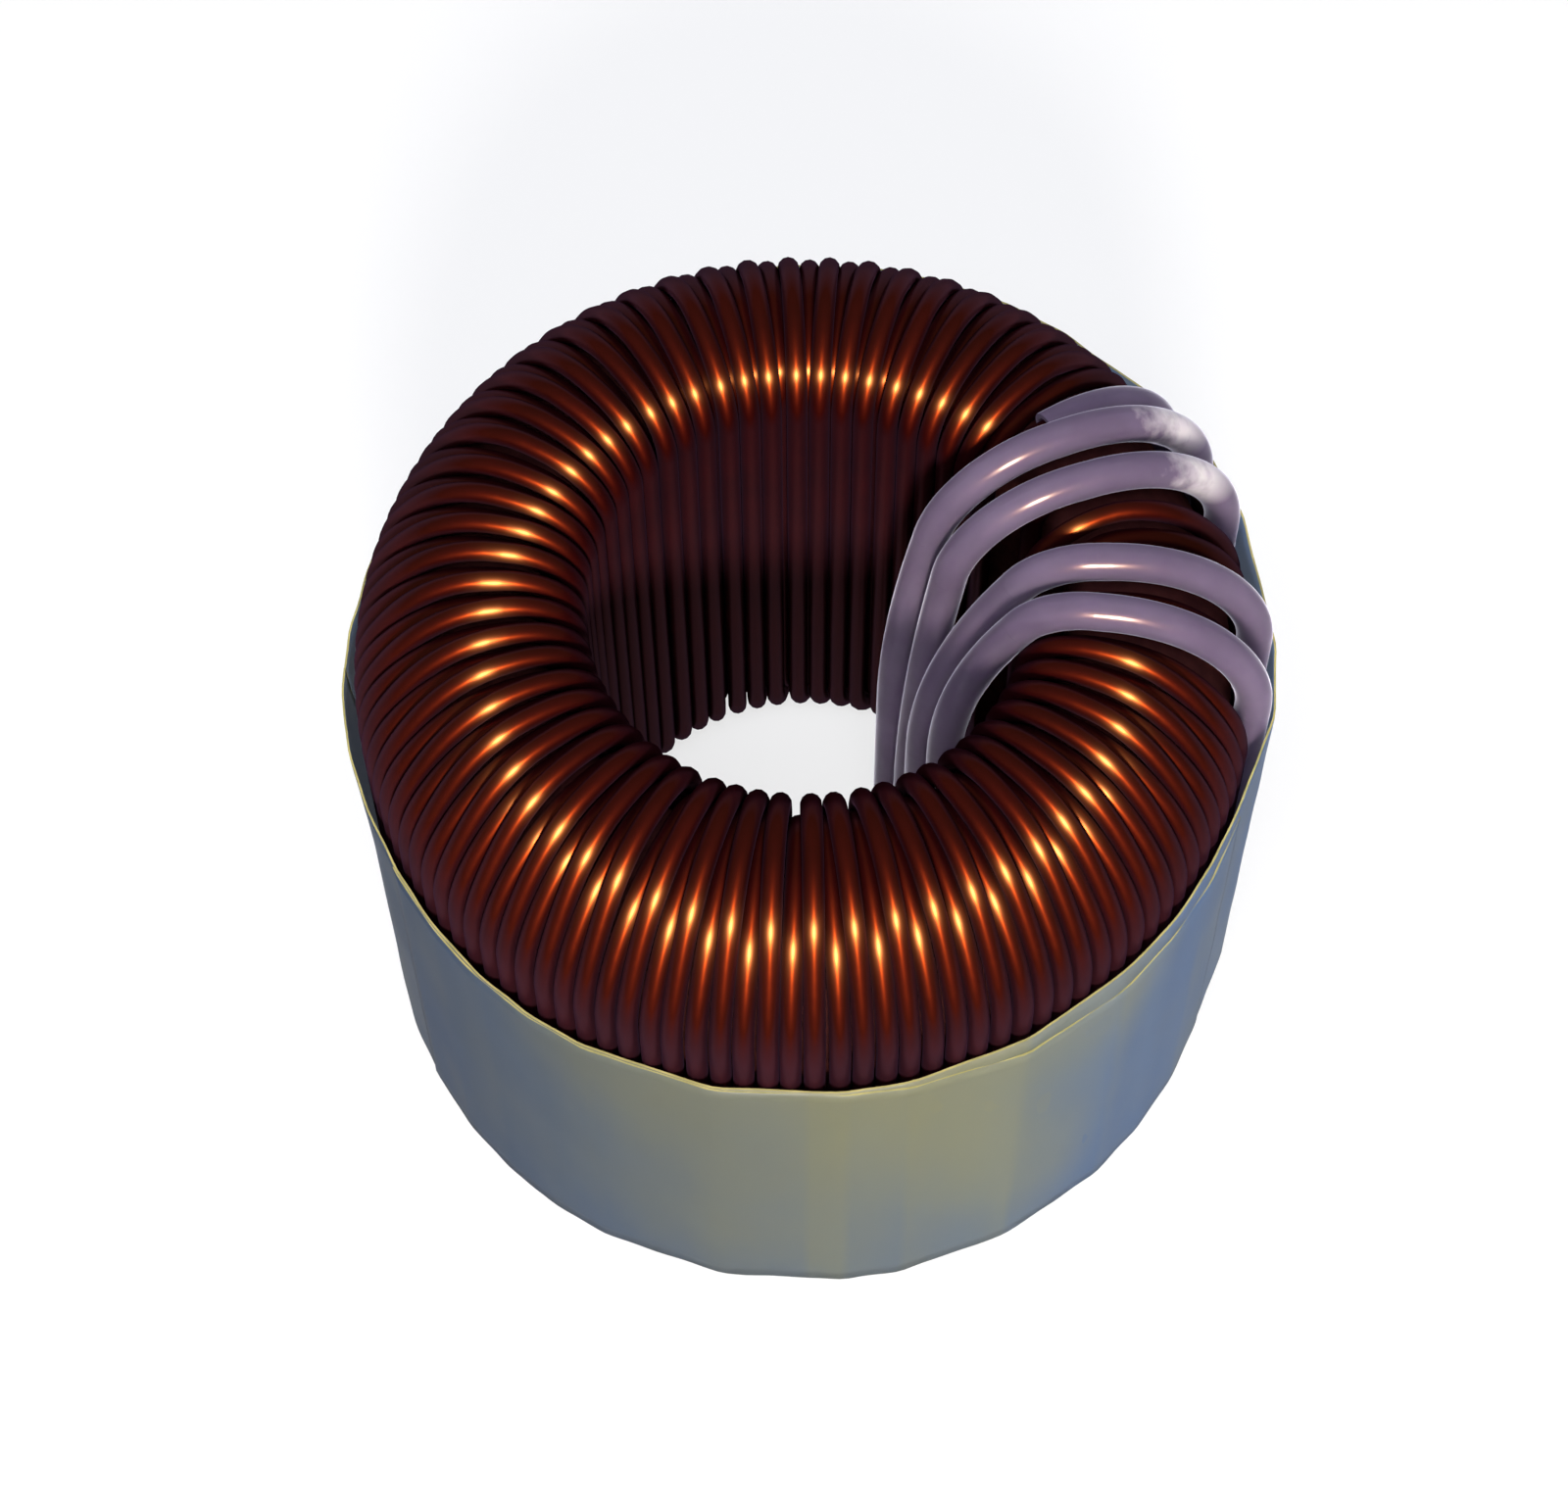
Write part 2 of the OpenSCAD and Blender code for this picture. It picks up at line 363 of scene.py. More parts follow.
# %% Enamel
BODY_SHARE = 0.5
LAYER_SHARE = 0.125
BODY_DARK = (0.004, 0.0005, 0.0010)
BODY_LIGHT = (0.009, 0.0008, 0.0012)
SPARK_COLOR = (0.0072, 0.0024, 0.0007)
STREAK_COLOR = (0.0056, 0.0007, 0.00006)
GLOW_COLOR = (0.0024, 0.0001, 0.00005)
VARNISH_TURNING = (0.009, 0.007, 0.013)
VARNISH_EDGE = (0.009, 0.009, 0.021)
ACROSS = 0.5
ALONG = -0.15
ENAMEL_ROUGHNESS = {"body": 0.5, "spark": 0.33, "streak": 0.31, "glow": 0.5, "varnish": 0.35}
STREAK_UNEVEN = (0.26, 0.38)
ENAMEL_PATCHES = 260.0
FINE_GRAIN = 1800.0


def turning_away(nodes, links):
    """The varnish's tint: none where it faces the eye, purple-grey towards the wire's edges."""
    edge = nodes.new("ShaderNodeLayerWeight")
    edge.inputs["Blend"].default_value = 0.5
    return color_ramp(nodes, links, edge.outputs["Facing"],
                      [(0.3, (0.0, 0.0, 0.0)),
                       (0.62, strengthened(VARNISH_TURNING, LAYER_SHARE)),
                       (0.95, strengthened(VARNISH_EDGE, LAYER_SHARE))])


def enamelled_copper():
    material, nodes, links, body = new_material("enamelled_copper")
    tone = color_ramp(nodes, links, object_noise(nodes, links, ENAMEL_PATCHES).outputs["Fac"],
                      [(0.3, strengthened(BODY_DARK, BODY_SHARE)),
                       (0.7, strengthened(BODY_LIGHT, BODY_SHARE))])
    links.new(tone.outputs[0], body.inputs["Base Color"])
    set_inputs(body, {"Roughness": ENAMEL_ROUGHNESS["body"], "Specular IOR Level": 0.0})
    spark = mirror_layer(nodes, ENAMEL_ROUGHNESS["spark"], LAYER_SHARE, SPARK_COLOR)
    streak = mirror_layer(nodes, ENAMEL_ROUGHNESS["streak"], LAYER_SHARE, STREAK_COLOR)
    glow = mirror_layer(nodes, ENAMEL_ROUGHNESS["glow"], LAYER_SHARE, GLOW_COLOR)
    varnish = mirror_layer(nodes, ENAMEL_ROUGHNESS["varnish"], LAYER_SHARE)
    links.new(turning_away(nodes, links).outputs[0], varnish.inputs["Color"])
    grain = nodes.new("ShaderNodeTangent")
    grain.direction_type = "UV_MAP"
    grain.uv_map = "grain"
    for shine, spread in ((spark, ACROSS), (streak, ALONG)):
        shine.inputs["Anisotropy"].default_value = spread
        links.new(grain.outputs[0], shine.inputs["Tangent"])
    fine = object_noise(nodes, links, FINE_GRAIN, 4.0)
    uneven = stretched(nodes, links, fine.outputs["Fac"], (0.0, 1.0), STREAK_UNEVEN)
    links.new(uneven.outputs[0], streak.inputs["Roughness"])
    bright = mixed(nodes, links, spark, streak, 0.5)
    dim = mixed(nodes, links, glow, varnish, 0.5)
    gloss = mixed(nodes, links, bright, dim, 0.5)
    coat_with(nodes, links, mixed(nodes, links, body, gloss, 0.5))
    return material


enamel = enamelled_copper()

# %% [markdown]
# ## The winding
#
# Three wires are wound side by side. Outside, the turns lie next to each other in one layer. The hole has
# less room, so there every second turn rides in the groove between its neighbours, and it comes down into
# the one layer again on its way out. That is why the small highlights stand in two staggered rows. First
# the sizes are set, in millimetres, with the core's two roundings as shares of its width: what the core
# and the wire measure gives every radius and height.

# %% Winding sizes
WIRE = 1.15
SLEEVE = 2.0
CORE_OUT = 46.8
CORE_IN = 28.4
CORE_HIGH = 34.4
LAY = 0.2
ROW_STEP = 1.12
OUTER_ROUNDING = 0.78
INNER_ROUNDING = 0.2
core_width = (CORE_OUT - CORE_IN) / 2
round_out = OUTER_ROUNDING * core_width
round_in = INNER_ROUNDING * core_width
r_outside = CORE_OUT / 2 + LAY + WIRE / 2
r_hole = [CORE_IN / 2 - LAY - WIRE / 2 - row * ROW_STEP for row in (0, 1)]
bend_out = round_out + LAY + WIRE / 2
bend_in = [round_in + LAY + WIRE / 2 + row * ROW_STEP for row in (0, 1)]
z_under = [WIRE / 2 + ROW_STEP, WIRE / 2]
core_foot = z_under[0] + WIRE / 2 + LAY
z_over = core_foot + CORE_HIGH + LAY + WIRE / 2
print("outside %.2f, hole %.2f, top %.2f" % (r_outside, r_hole[1], z_over))

# %% [markdown]
# ## Places of the turns
#
# All turns are counted in one row round the ring, by their direction from its middle in degrees. The long
# regular stretch lies between a few starting places and a few finishing ones, which stand further apart
# because the sleeved leads among them are thicker. With three wires side by side, a wire's next turn lies
# three places on.

# %% Places of the turns
PITCH = 2.98
FIRST = 41.8
REGULAR = 103
STRANDS = 3
START = (-22.5, -18.7, -14.5, -7.0)
FINISH = (5.7, 10.0, 15.2, 19.8, 24.3)
COUNT = len(START) + REGULAR + len(FINISH)
LAST = FIRST + (REGULAR - 1) * PITCH
LAST_STEPS = {COUNT - 4: COUNT - 2, COUNT - 2: COUNT - 1}
direction = [FIRST + d for d in START]
direction += [FIRST + k * PITCH for k in range(REGULAR)]
direction += [LAST + d for d in FINISH]


def row_of(i):
    """0 for a turn that lies on the wall of the hole, 1 for one that rides on its neighbours."""
    k = i - len(START)
    return k % 2 if 0 <= k < REGULAR - 1 else int(i == COUNT - 1)


def after(i):
    """The next place of the same wire, or -1 at its end."""
    if i == 0:
        return 1
    if i < len(START) + REGULAR:
        return i + STRANDS
    return LAST_STEPS.get(i, -1)


print("turns:", COUNT)

# %% [markdown]
# ## Bunching
#
# A drawing could repeat one turn, but hand winding bunches the turns in small groups and leaves little
# gaps at the rim of the hole, so each turn gets its own places inside and outside. On the near side, where
# the gaps show most, the bunches are drawn tighter. Each turn also lies a little slack over the top.

# %% Bunching
NEAR_TIGHT = 0.9
TIGHT = 0.96
NEAR_REACH = 40
NEAR_PAIR = len(START) + 76
UNBUNCHED_FIRST = 4
UNBUNCHED_LAST = 6
NOTCHED_TURNS = 4
OUTSIDE_SHIFT = 0.1
LEAST_SLACK = 0.2
MOST_SLACK = 0.36
BUNCH_SEED = 11
SLACK_SEED = 300


def bunches(seed, pair):
    """Shifts, in degrees, that draw the turns of the hole together in bunches with a notch between two."""
    rnd = random.Random(seed)
    inside = [0.0] * COUNT
    start = len(START) + UNBUNCHED_FIRST
    last = len(START) + REGULAR - UNBUNCHED_LAST
    while start < last:
        turns = 2 * rnd.randint(2, 4)
        if start < pair < start + turns:
            turns = pair - start
        elif start == pair:
            turns = NOTCHED_TURNS
        turns = min(turns, last - start)
        tight = NEAR_TIGHT if abs(start - pair) * PITCH < NEAR_REACH else TIGHT
        middle = (turns - 1) / 2
        for k in range(turns):
            inside[start + k] = (k - middle) * PITCH * (tight - 1)
        start += turns
    outside = [rnd.uniform(-OUTSIDE_SHIFT, OUTSIDE_SHIFT) if shift else 0.0 for shift in inside]
    return inside, outside


shift_in, shift_out = bunches(BUNCH_SEED, NEAR_PAIR)
lift = [random.Random(SLACK_SEED + i).uniform(LEAST_SLACK, MOST_SLACK) for i in range(COUNT)]
print("widest shift: %.2f degrees" % max(shift_in))

# %% [markdown]
# ## Centre line of a turn
#
# A turn is drawn as a centre line, point by point: up the wall of the hole, over the small inner rounding
# and the wide outer one, down outside, and back to the hole underneath. The two rows, the slack and the
# bunching are eased in along the way, so that no turn has a kink. Two turns next to a lead were pushed
# aside by it, and they bow out over the top.

# %% Centre line of a turn
HOLE_HEIGHTS = (12, 24)
OUTSIDE_HEIGHT = 22
ROWS_MEET, ROWS_MEET_OVER = 16.5, 7.5
SLACK_FROM, SLACK_IN_OVER = 15.0, 3.5
SLACK_TO, SLACK_OUT_OVER = 23.0, 4.0
BOW = {COUNT - 2: 3.4, COUNT - 1: 2.6}
BOW_FROM, BOW_OVER = 13.0, 4.0
BOW_FOOT, BOW_HIGH = 18.0, 17.0


def smooth(t):
    t = min(max(t, 0.0), 1.0)
    return t * t * (3 - 2 * t)


def ring_point(radius, azimuth, z):
    a = math.radians(azimuth)
    return Vector((radius * math.cos(a), radius * math.sin(a), z))


def turn_profile(row):
    """Radius and height along a turn of the lower row, and the direction away from the core."""
    profile = [(r_hole[0], z, -1, 0) for z in (z_under[row] + bend_in[row], *HOLE_HEIGHTS)]
    for degrees in range(180, 89, -9):
        c, s = math.cos(math.radians(degrees)), math.sin(math.radians(degrees))
        profile.append((r_hole[0] + bend_in[0] + bend_in[0] * c, z_over - bend_in[0] + bend_in[0] * s, c, s))
    for degrees in range(90, -1, -5):
        c, s = math.cos(math.radians(degrees)), math.sin(math.radians(degrees))
        profile.append((r_outside - bend_out + bend_out * c, z_over - bend_out + bend_out * s, c, s))
    return profile + [(r_outside, z, 1, 0) for z in (OUTSIDE_HEIGHT, z_under[row] + bend_out)]


def over_the_top(i):
    """From low in the hole, over the ring and down outside."""
    row = row_of(i)
    points = []
    for r, z, away, up in turn_profile(row):
        rise = row * ROW_STEP * (1 - smooth((r - ROWS_MEET) / ROWS_MEET_OVER))
        slack = lift[i] * smooth((r - SLACK_FROM) / SLACK_IN_OVER) * smooth((SLACK_TO - r) / SLACK_OUT_OVER)
        way_out = smooth((r - r_hole[1]) / (r_outside - r_hole[1]))
        turn = direction[i] + shift_in[i] + (shift_out[i] - shift_in[i]) * way_out
        turn += BOW.get(i, 0.0) * smooth((r - BOW_FROM) / BOW_OVER) * smooth((z - BOW_FOOT) / BOW_HIGH)
        points.append(ring_point(r + (rise + slack) * away, turn, z + (rise + slack) * up))
    return points


def place_inside(i):
    row = 1 if i in LEADS else row_of(i)
    return ring_point(r_hole[row], direction[i] + shift_in[i], 0)


def place_outside(i):
    return crown(i) if i in LEADS else ring_point(r_outside, direction[i] + shift_out[i], 0)


def underneath(i, following):
    """From low outside turn i to low in the hole at the next turn of the same wire."""
    row = 1 if following in LEADS else row_of(following)
    p, q = place_outside(i), place_inside(following)
    along = (q - p).normalized()
    length = (q - p).length
    line = []
    for degrees in range(0, 91, 10):
        a = math.radians(degrees)
        line.append((bend_out * (1 - math.cos(a)), z_under[row] + bend_out * (1 - math.sin(a))))
    for degrees in range(90, -1, -10):
        a = math.radians(degrees)
        x = length - bend_in[row] * (1 - math.cos(a))
        line.append((x, z_under[row] + bend_in[row] * (1 - math.sin(a))))
    return [p + along * x + Vector((0, 0, z)) for x, z in line]


print("a turn has", len(turn_profile(0)), "points over the top")

# %% [markdown]
# ## The leads
#
# A sleeved lead comes up in the middle of the hole, leans out, bends over the rim and lies across the
# ring. Its line is straight in plan, from its foot in the hole to its crown outside. Three of them start
# the wires, at the back of the group, and two finish them. One is short and lies low under its
# neighbour. The lines are the same as those of the model's sleeves, so that the wire stays inside its
# sleeving.

# %% Lines of the leads
LINK = 0.3
END_HIGH = 2.5
LINE_LOW = 15.0
SWAY_LOW = 5
SWAY_STEPS = 12
OVER_TURNS = 0.06
low_top = core_foot + CORE_HIGH + LAY + SLEEVE / 2
mid_top = z_over + WIRE / 2 + SLEEVE / 2 + OVER_TURNS
r_lead = CORE_OUT / 2 + LAY + SLEEVE / 2
lead_bend = bend_out - WIRE / 2 + SLEEVE / 2


def lead(aside, way, reach, bend, lean, top):
    """Degrees aside at the rim, way on into the hole, reach and bend at the top, lean and height."""
    return {"aside": aside, "way": way, "reach": reach, "bend": bend, "lean": lean, "top": top}


LEADS = {3: lead(1.5, 1.9, 3.1, 0, 0, low_top),
         2: lead(4.2, 7.43, 8.72, 7, 12, mid_top + 0.1),
         0: lead(0.9, 7.4, 8.6, 7, 8, mid_top),
         COUNT - 3: lead(0.5, 7.4, 8.6, 4.5, 28, mid_top),
         COUNT - 5: lead(-1.74, 6.13, 7.34, 4.2, 27, mid_top)}


def crown(i):
    return ring_point(r_lead, direction[i], 0)


def foot(i):
    rim = ring_point(CORE_IN / 2, direction[i] + LEADS[i]["aside"], 0)
    return rim + (rim - crown(i)).normalized() * LEADS[i]["way"]


def leaning_start(reach, bend, lean, top, low):
    """Up the hole and over into the lean, as distances from the foot and heights."""
    long_bend = (reach - bend * math.cos(lean) - LINK * math.sin(lean)) / (1 - math.cos(lean))
    waist = top - bend * (1 - math.sin(lean)) - long_bend * math.sin(lean) - LINK * math.cos(lean)
    line = [(0, low)]
    for k in range(9):
        a = lean * k / 8
        line.append((long_bend * (1 - math.cos(a)), waist + long_bend * math.sin(a)))
    return line


def lead_line(i, low, bottom):
    """The lead's centre line from height low in the hole, over the ring, to height bottom outside."""
    reach, top = LEADS[i]["reach"], LEADS[i]["top"]
    lean = math.radians(LEADS[i]["lean"])
    upper = LEADS[i]["bend"] if lean else reach
    p, q = foot(i), crown(i)
    level = (q - p).length - lead_bend - reach
    line = leaning_start(reach, upper, lean, top, low) if lean else [(0, low), (0, top - upper)]
    for k in range(1, 13):
        a = lean + (math.pi / 2 - lean) * k / 12
        line.append((reach - upper * math.cos(a), top - upper * (1 - math.sin(a))))
    for degrees in range(0, 91, 6):
        a = math.radians(degrees)
        line.append((reach + level + lead_bend * math.sin(a), top - lead_bend * (1 - math.cos(a))))
    line.append((reach + level + lead_bend, bottom))
    along = (q - p).normalized()
    return [p + along * x + Vector((0, 0, z)) for x, z in line]


def sway(i):
    """How a finishing lead leaves the wall of the hole for its own line."""
    p, q = place_inside(i), foot(i)
    points = []
    for t in range(SWAY_STEPS + 1):
        z = SWAY_LOW + (LINE_LOW - SWAY_LOW) * t / SWAY_STEPS
        points.append(p.lerp(q, smooth(t / SWAY_STEPS)) + Vector((0, 0, z)))
    return points


print("leads at", [round(direction[i], 1) for i in LEADS], "degrees")

# %% [markdown]
# ## Centre line of a whole wire
#
# A wire is one unbroken line from end to end: a lead, then turn after turn over the top and underneath,
# and then a lead or a bare end low on the outside. Points that nearly touch are left out, because they
# would pinch the tube that is drawn along the line.

# %% Centre line of a whole wire
LEAST_STEP = 0.12


def wire_line(first):
    points = []
    i = first
    while i >= 0:
        following = after(i)
        if i not in LEADS:
            points += over_the_top(i)
        elif following >= 0:
            points += lead_line(i, END_HIGH, z_under[1] + bend_out + 1)
        else:
            points += sway(i)[:-1] + lead_line(i, LINE_LOW, END_HIGH)
        if following >= 0:
            points += underneath(i, following)
        elif i not in LEADS:
            points[-1].z = END_HIGH
        i = following
    kept = [points[0]]
    for point in points[1:]:
        if (point - kept[-1]).length > LEAST_STEP:
            kept.append(point)
    return kept


wire_lines = {letter: wire_line(first) for letter, first in (("a", 0), ("b", 2), ("c", 3))}
print("points:", {letter: len(line) for letter, line in wire_lines.items()})

# %% [markdown]
# ## Wires
#
# A wire could be a curve with a round section, but the enamel needs a map that tells it which way the wire
# runs. So a long strip of squares is rolled round the line like paper round a pencil, and its seam is
# closed. The strip's flat layout is kept as the map called grain, whose first direction runs along the
# wire, and the enamel's spark and streak follow it. The three wires take the place of the model's wires.


# %% Wires
def drawn_wire(name, points, diameter, material, sides=12):
    bm = bmesh.new()
    last = len(points) - 1
    bm.loops.layers.uv.new("grain")
    bmesh.ops.create_grid(bm, x_segments=last, y_segments=sides, size=0.5, calc_uvs=True)
    squares = {v: (round((v.co.x + 0.5) * last), round((v.co.y + 0.5) * sides)) for v in bm.verts}
    aims = [(points[min(k + 1, last)] - points[max(k - 1, 0)]).normalized() for k in range(last + 1)]
    side = aims[0].orthogonal().normalized()
    sides_at = []
    for aim in aims:
        side = (side - aim * side.dot(aim)).normalized()
        sides_at.append((side, aim.cross(side)))
    for v, (k, step) in squares.items():
        turn = 2 * math.pi * step / sides
        side, up = sides_at[k]
        v.co = (points[k] + (side * math.cos(turn) + up * math.sin(turn)) * diameter / 2) * MM
    bmesh.ops.remove_doubles(bm, verts=bm.verts, dist=1e-6)
    bmesh.ops.holes_fill(bm, edges=[e for e in bm.edges if e.is_boundary], sides=sides)
    bmesh.ops.recalc_face_normals(bm, faces=bm.faces)
    for face in bm.faces:
        face.smooth = len(face.verts) == 4
    return laid_out(name, bm, [material])


for letter, line in wire_lines.items():
    wire = drawn_wire("winding_" + letter, line, WIRE, enamel)
    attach(wire, "root")
    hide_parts("wire_" + letter)

# %% [markdown]
# ## Sleeving
#
# The sleeving is a soft milky tube, greyed by the wire inside it. The model's sleeves have the right
# shape, so they only get a finish. Light wanders inside the tube's wall, which takes a little subsurface
# scattering, and at its edges the way through the wall is longer, so a sheen makes them pale. Little light
# reaches down the hole, so light is painted into the colour there, more the lower the tube lies. A trace
# of the wire's own shine shows through the wall. Two of the tubes are whitened far out and high up, where
# they bend over the rim, with a ragged limit.

# %% Sleeving
MILKY_DARK = (0.092, 0.068, 0.106)
MILKY_LIGHT = (0.120, 0.091, 0.136)
RIM_WHITE = (0.50, 0.45, 0.45)
# Painted light in the hole: at 12 mm the colour is 2.2 times as bright, fading to plain at 32 mm.
HOLE_LEVELS = (0.012, 0.032)
PAINTED_HOLE_LIGHT = (2.2, 1.0)
RIM_WHITE_OUT = (0.0225, 0.0250)
RIM_WHITE_UP = (0.0345, 0.0368)
RIM_WHITE_RAGGED = 0.004
WIRE_INSIDE = (0.0012, 0.00036, 0.0001)
WIRE_INSIDE_SHARE = 0.06
SLEEVE_SURFACE = {"Roughness": 0.22,
                  "Specular IOR Level": 0.025,
                  "Specular Tint": (1.0, 0.86, 0.72, 1.0),
                  "Subsurface Weight": 0.5,
                  "Subsurface Radius": (1.0, 0.8, 1.1),
                  "Subsurface Scale": 0.0012,
                  "Sheen Weight": 1.0,
                  "Sheen Roughness": 0.22,
                  "Sheen Tint": (0.85, 0.80, 0.92, 1.0)}
RIM_WHITE_TUBES = (2, 3)


def from_middle(nodes, links):
    """How far a point stands from the middle of the ring, seen from above."""
    flat = nodes.new("ShaderNodeMapping")
    flat.inputs["Scale"].default_value = (1.0, 1.0, 0.0)
    away = nodes.new("ShaderNodeVectorMath")
    away.operation = "LENGTH"
    links.new(nodes.new("ShaderNodeTexCoord").outputs["Object"], flat.inputs["Vector"])
    links.new(flat.outputs[0], away.inputs[0])
    return away.outputs["Value"]


# The white is laid on far out and high up, where the tube bends over the rim, with a ragged limit.
def rim_white_color(nodes, links, color, height):
    """The tube's colour, whitened at the rim."""
    marks = object_noise(nodes, links, 900.0, 4.0)
    ragged = added_to(nodes, links, marks.outputs["Fac"], RIM_WHITE_RAGGED, from_middle(nodes, links))
    outwards = stretched(nodes, links, ragged.outputs[0], RIM_WHITE_OUT, (0.0, 1.0))
    upper = stretched(nodes, links, height, RIM_WHITE_UP, (0.0, 1.0))
    whiten = nodes.new("ShaderNodeMath")
    whiten.operation = "MULTIPLY"
    links.new(outwards.outputs[0], whiten.inputs[0])
    links.new(upper.outputs[0], whiten.inputs[1])
    white = nodes.new("ShaderNodeMix")
    white.data_type = "RGBA"
    white.inputs["B"].default_value = (*RIM_WHITE, 1.0)
    links.new(whiten.outputs[0], white.inputs["Factor"])
    links.new(color, white.inputs["A"])
    return white.outputs["Result"]


def milky_sleeving(name, white_at_rim):
    material, nodes, links, tube = new_material(name)
    tone = color_ramp(nodes, links, object_noise(nodes, links, 220.0).outputs["Fac"],
                      [(0.3, MILKY_DARK), (0.75, MILKY_LIGHT)])
    height = object_axes(nodes, links).outputs["Z"]
    # Painted light: the colour is brightened low in the hole, where little light reaches.
    painted_hole_light = stretched(nodes, links, height, HOLE_LEVELS, PAINTED_HOLE_LIGHT)
    color = scaled_color(nodes, links, tone.outputs[0], painted_hole_light.outputs[0]).outputs[0]
    if white_at_rim:
        color = rim_white_color(nodes, links, color, height)
    links.new(color, tube.inputs["Base Color"])
    set_inputs(tube, SLEEVE_SURFACE)
    wire_inside = mirror_layer(nodes, 0.34, WIRE_INSIDE_SHARE, WIRE_INSIDE)
    coat_with(nodes, links, mixed(nodes, links, tube, wire_inside, WIRE_INSIDE_SHARE))
    return material


plain_sleeving = milky_sleeving("milky_sleeving", False)
rim_white_sleeving = milky_sleeving("rim_white_sleeving", True)
for k in range(1, 6):
    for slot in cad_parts["sleeve_%d" % k].material_slots:
        slot.material = rim_white_sleeving if k in RIM_WHITE_TUBES else plain_sleeving

# %% [markdown]
# ## Core
#
# The core hides under the winding. Only slivers of its dark coating show between the turns, so its finish
# is a dull, nearly black brown with a fine grain, and no shine that could be taken for wire.

# %% Core
COATING_DARK = (0.028, 0.008, 0.008)
COATING_LIGHT = (0.042, 0.012, 0.011)


def core_coating():
    material, nodes, links, coating = new_material("core_coating")
    tone = color_ramp(nodes, links, object_noise(nodes, links, 900.0).outputs["Fac"],
                      [(0.35, COATING_DARK), (0.7, COATING_LIGHT)])
    links.new(tone.outputs[0], coating.inputs["Base Color"])
    set_inputs(coating, {"Roughness": 0.75, "Specular IOR Level": 0.0})
    return material


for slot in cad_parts["core"].material_slots:
    slot.material = core_coating()

# %% [markdown]
# ## Outline of the tape
#
# The band is a clear film with yellow glue, wound round the ring more than once and pulled tight. A tight
# film touches what it wraps at a few places and runs straight between them, so seen from above it is a
# polygon with low corners, and it stands out over the sleeved leads. The outline is found as a tight band
# would find it, as the outer hull of the places that it touches.

# %% Outline of the tape
TURN_CLEAR = 0.36
LEAD_CLEAR = 0.2
r_touch = r_outside + WIRE / 2 + TURN_CLEAR
creases = [-118, -101, -85, -77, -62, -47, -38, -29, -20, 44, 54, 62, 73, 81, 92, 100, 111, 121, 130, 141,
           149, 158, 167, 175, 183, 192, 200, 209, 218, 226, 234]


def hull_outline(points):
    """The corners of the tight band round the points, in turn."""
    def half(row):
        kept = []
        for p in row:
            while len(kept) > 1 and (kept[-1] - kept[-2]).cross(p - kept[-2]) <= 0:
                kept.pop()
            kept.append(p)
        return kept[:-1]
    row = sorted(points, key=lambda p: (p.x, p.y))
    return half(row) + half(row[::-1])


touched = [ring_point(r_touch, a, 0).to_2d() for a in creases]
for i in LEADS:
    round_lead = [ring_point(SLEEVE / 2 + LEAD_CLEAR, a, 0).to_2d() for a in range(0, 360, 15)]
    touched += [crown(i).to_2d() + p for p in round_lead]
corners = hull_outline(touched)


def band_radius(azimuth):
    """How far from the middle the band runs in a direction."""
    way = ring_point(1, azimuth, 0).to_2d()
    best = 0.0
    for p, q in zip(corners, corners[1:] + corners[:1]):
        across = way.cross(q - p)
        if abs(across) > 1e-9:
            far, part = p.cross(q - p) / across, p.cross(way) / across
            if far > best and -1e-6 <= part <= 1 + 1e-6:
                best = far
    return best


print("band touches at", len(corners), "places, from %.2f to %.2f" %
      (min(p.length for p in corners), max(p.length for p in corners)))

# %% [markdown]
# ## How the film lies
#
# The tape was put on by hand: its upper edge isn't level, it runs in a slight wave, and at the back left it
# stands off the winding. The film itself is a little crumpled. Where the glue lies thick or the layers
# overlap, the film looks yellow, mostly in front and a little at the back, and each flat panel between two
# creases has its own shade. The yellow in front, where the film faces the lamps, and its rise towards the
# upper edge are partly painted light. These are all small functions of the direction and of the height in
# the film.

# %% How the film lies
TAPE_HIGH = 29.4
TILT_BACK = 4.2
TILT_SIDE = 2.0
EDGE_WAVE, EDGE_WAVE_LONG = 0.10, 9
FLARE, FLARE_AT, FLARE_HALF = 0.4, 185, 22
FLARE_FROM, FLARE_OVER = 0.7, 0.3
CRUMPLE = 0.05
FOLD_LONG, FOLD_HIGH = 4, 1.5
CREASE_LONG, CREASE_HIGH, CREASE_SLANT = 11, 7, 14
# Where the film is yellow: glue and overlapping layers, with painted light on the front and higher up.
YELLOW_FRONT, FRONT_FULL, FRONT_FADE = -86, 14, 46
YELLOW_BACK, BACK_FULL, BACK_FADE = 110, 10, 40
BACK_SHARE = 0.35
YELLOW_LOW, YELLOW_RISE = 0.30, 0.5
PANEL_SHADE = 0.12
PATCH, PATCH_LONG, PATCH_HIGH = 0.22, 18, 2.2


def angle_off(azimuth, middle):
    """The angle between two directions, from 0 to 180 degrees."""
    return abs((azimuth - middle + 180) % 360 - 180)


def band_top(x, y):
    return TAPE_HIGH + x * math.tan(math.radians(TILT_SIDE)) + y * math.tan(math.radians(TILT_BACK))


def film_height(azimuth, near, drop, seed):
    flat = ring_point(near, azimuth, 0)
    wave = noise.noise(Vector((azimuth / EDGE_WAVE_LONG, seed, 0)))
    return band_top(flat.x, flat.y) - drop + EDGE_WAVE * wave


def film_crumple(azimuth, w, seed):
    folds = noise.noise(Vector((azimuth / FOLD_LONG, w * FOLD_HIGH, seed)))
    slant = w * CREASE_HIGH + azimuth / CREASE_SLANT
    return CRUMPLE * folds + CRUMPLE * noise.noise(Vector((azimuth / CREASE_LONG, slant, seed + 5)))


def film_flare(azimuth, w):
    nearness = smooth(1 - angle_off(azimuth, FLARE_AT) / FLARE_HALF)
    return FLARE * nearness * smooth((w - FLARE_FROM) / FLARE_OVER)


